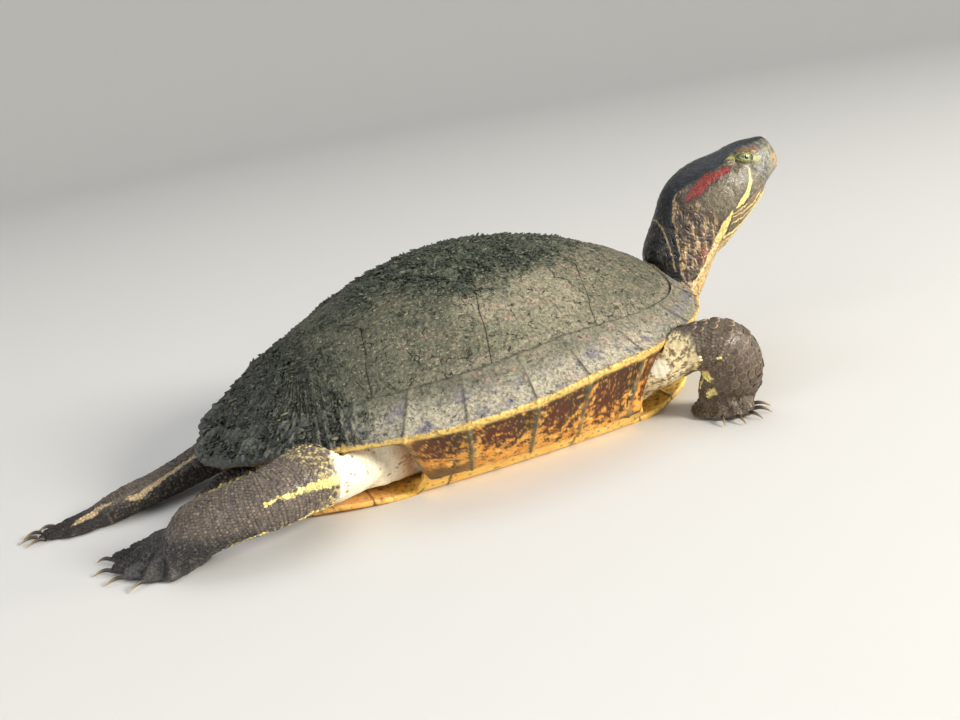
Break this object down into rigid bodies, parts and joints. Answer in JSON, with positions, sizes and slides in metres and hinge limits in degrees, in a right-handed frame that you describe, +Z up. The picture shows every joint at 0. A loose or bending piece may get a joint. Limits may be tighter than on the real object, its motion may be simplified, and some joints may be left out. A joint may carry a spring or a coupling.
{
  "type": "red-eared slider turtle",
  "caption": "Life-size still model of an adult freshwater turtle, a red-eared slider, lying on its plastron with legs spread and neck raised.",
  "frame": {"origin": "on the floor, on the flat underside of the plastron, below the middle of the carapace's length", "axes": "+X towards the head, +Y to the animal's left, +Z up"},
  "size_m": [0.3891, 0.188, 0.1086],
  "materials": {
    "carapace": "dull dark olive-grey horn with a rough, algae-grown top and a narrow yellow rim",
    "plastron": "yellow-orange horn with dark brown blotches, faintly waxy",
    "skin": "dry scaly skin, dark grey-brown with yellow stripes and a red patch behind each eye",
    "eye": "wet and glossy, green-yellow iris with a dark bar",
    "claw": "pale grey-brown horn, slightly worn"
  },
  "bodies": {
    "root": {"claw_foreleg_left_1": "claw", "claw_foreleg_left_2": "claw", "claw_foreleg_left_3": "claw", "claw_foreleg_left_4": "claw", "claw_foreleg_left_5": "claw", "claw_foreleg_right_1": "claw", "claw_foreleg_right_2": "claw", "claw_foreleg_right_3": "claw", "claw_foreleg_right_4": "claw", "claw_foreleg_right_5": "claw", "claw_hindleg_left_1": "claw", "claw_hindleg_left_2": "claw", "claw_hindleg_left_3": "claw", "claw_hindleg_left_4": "claw", "claw_hindleg_right_1": "claw", "claw_hindleg_right_2": "claw", "claw_hindleg_right_3": "claw", "claw_hindleg_right_4": "claw", "costal_left_1": "carapace", "costal_left_2": "carapace", "costal_left_3": "carapace", "costal_left_4": "carapace", "costal_right_1": "carapace", "costal_right_2": "carapace", "costal_right_3": "carapace", "costal_right_4": "carapace", "eye_left": "eye", "eye_right": "eye", "foot_left": "skin", "foot_right": "skin", "forearm_left": "skin", "forearm_right": "skin", "hand_left": "skin", "hand_right": "skin", "head": "skin", "lower_jaw": "skin", "marginals_left": "carapace", "marginals_right": "carapace", "neck": "skin", "nuchal": "carapace", "plastron_abdominal": "plastron", "plastron_anal": "plastron", "plastron_femoral": "plastron", "plastron_gular": "plastron", "plastron_humeral": "plastron", "plastron_pectoral": "plastron", "shank_left": "skin", "shank_right": "skin", "tail": "skin", "thigh_left": "skin", "thigh_right": "skin", "trunk": "skin", "upper_arm_left": "skin", "upper_arm_right": "skin", "vertebral_1": "carapace", "vertebral_2": "carapace", "vertebral_3": "carapace", "vertebral_4": "carapace", "vertebral_5": "carapace"}
  },
  "joints": []
}
